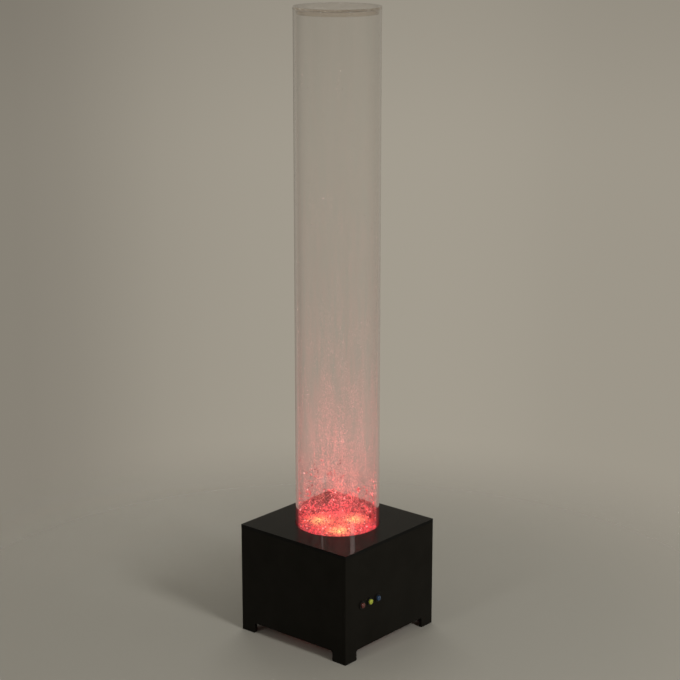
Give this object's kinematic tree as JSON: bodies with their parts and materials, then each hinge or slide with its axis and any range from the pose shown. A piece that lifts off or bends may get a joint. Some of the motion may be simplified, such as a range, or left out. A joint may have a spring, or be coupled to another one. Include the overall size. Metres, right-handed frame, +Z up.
{
  "type": "bubble tube floor lamp",
  "caption": "Tall clear tube of blown beads lit from below, with a flat lid, on a square black base with corner feet and push buttons.",
  "frame": {"origin": "centre of the base's footprint, on the floor", "axes": "+Z up along the tube, -Y towards the face with the push buttons, +X to the right of it"},
  "size_m": [0.243, 0.2535, 1.11],
  "materials": {
    "satin_black_panel": "satin black sheet, very slightly warm",
    "gloss_black_deck": "polished black acrylic sheet",
    "black_wood": "stained battens and fibreboard",
    "black_rubber": "soft black rubber",
    "screw_steel": "zinc-plated steel",
    "clear_acrylic": "clear cast acrylic, polished",
    "tinted_acrylic": "acrylic sheet with a faint warm tint",
    "black_moulded": "moulded black plastic",
    "white_nylon": "white nylon",
    "mesh_cloth": "fine woven nylon mesh",
    "pale_beads": "loose foamed beads about 2 mm across",
    "white_circuit_board": "white solder mask on an aluminium core",
    "green_circuit_board": "green solder mask",
    "led_yellow": "phosphor and resin",
    "lens_clear": "clear moulded lens",
    "brass_fitting": "turned brass",
    "copper_winding": "enamelled copper wire",
    "red_cap": "glossy moulded red",
    "yellow_cap": "glossy moulded greenish yellow",
    "blue_cap": "glossy moulded blue",
    "red_paddle": "glossy moulded red",
    "lead_insulation": "flexible wire insulation"
  },
  "bodies": {
    "base": {"front_panel": "satin_black_panel", "back_panel": "satin_black_panel", "left_panel": "satin_black_panel", "right_panel": "satin_black_panel", "deck_panel": "gloss_black_deck", "front_left_post": "black_wood", "front_right_post": "black_wood", "back_left_post": "black_wood", "back_right_post": "black_wood", "foot_pads": "black_rubber", "bottom_plate": "black_wood", "left_batten": "black_wood", "right_batten": "black_wood", "bottom_screws": "screw_steel", "acrylic_tube": "clear_acrylic", "tube_socket": "black_moulded", "socket_screws": "screw_steel", "seal_ring": "black_rubber", "spacer_ring": "white_nylon", "mesh_floor": "mesh_cloth", "bead_bed": "pale_beads", "air_duct": "black_moulded", "duct_screws": "screw_steel", "led_board": "white_circuit_board", "led_spacers": "white_nylon", "led_screws": "screw_steel", "led_chips": "led_yellow", "led_lenses": "lens_clear", "fan_frame": "black_moulded", "fan_bearing": "brass_fitting", "fan_stator": "copper_winding", "fan_guard": "black_moulded", "fan_screws": "screw_steel", "fan_nuts": "screw_steel", "red_button_body": "black_moulded", "yellow_button_body": "black_moulded", "blue_button_body": "black_moulded", "button_nuts": "black_moulded", "button_springs": "screw_steel", "control_board": "green_circuit_board", "board_connectors": "white_nylon", "driver_chip": "black_moulded", "board_standoffs": "brass_fitting", "board_screws": "screw_steel", "inlet_jack": "black_moulded", "inlet_nut": "screw_steel", "switch_frame": "black_moulded", "switch_pin": "screw_steel", "button_lead": "lead_insulation", "led_lead": "lead_insulation", "fan_lead": "lead_insulation", "power_lead": "lead_insulation"},
    "lid": {"lid_disc": "tinted_acrylic", "lid_ring": "tinted_acrylic"},
    "rotor": {"fan_rotor": "black_moulded", "fan_shaft": "screw_steel"},
    "paddle": {"switch_paddle": "red_paddle"},
    "red_button": {"red_button_cap": "red_cap"},
    "yellow_button": {"yellow_button_cap": "yellow_cap"},
    "blue_button": {"blue_button_cap": "blue_cap"}
  },
  "joints": [
    {"name": "lid_lift", "type": "slide", "parent": "base", "child": "lid", "axis": [0, 0, 1], "range_m": [0, 0.06]},
    {"name": "rotor_spin", "type": "hinge", "parent": "base", "child": "rotor", "pos_m": [0, 0, 0.1135], "axis": [0, 0, 1], "continuous": true},
    {"name": "paddle_rock", "type": "hinge", "parent": "base", "child": "paddle", "pos_m": [0.06, 0.12, 0.06], "axis": [1, 0, 0], "range_deg": [-20, 0]},
    {"name": "red_press", "type": "slide", "parent": "base", "child": "red_button", "axis": [0, 1, 0], "range_m": [0, 0.0015], "stiffness_N_per_m": 600, "springref_m": -0.0015},
    {"name": "yellow_press", "type": "slide", "parent": "base", "child": "yellow_button", "axis": [0, 1, 0], "range_m": [0, 0.0015], "stiffness_N_per_m": 600, "springref_m": -0.0015},
    {"name": "blue_press", "type": "slide", "parent": "base", "child": "blue_button", "axis": [0, 1, 0], "range_m": [0, 0.0015], "stiffness_N_per_m": 600, "springref_m": -0.0015}
  ]
}
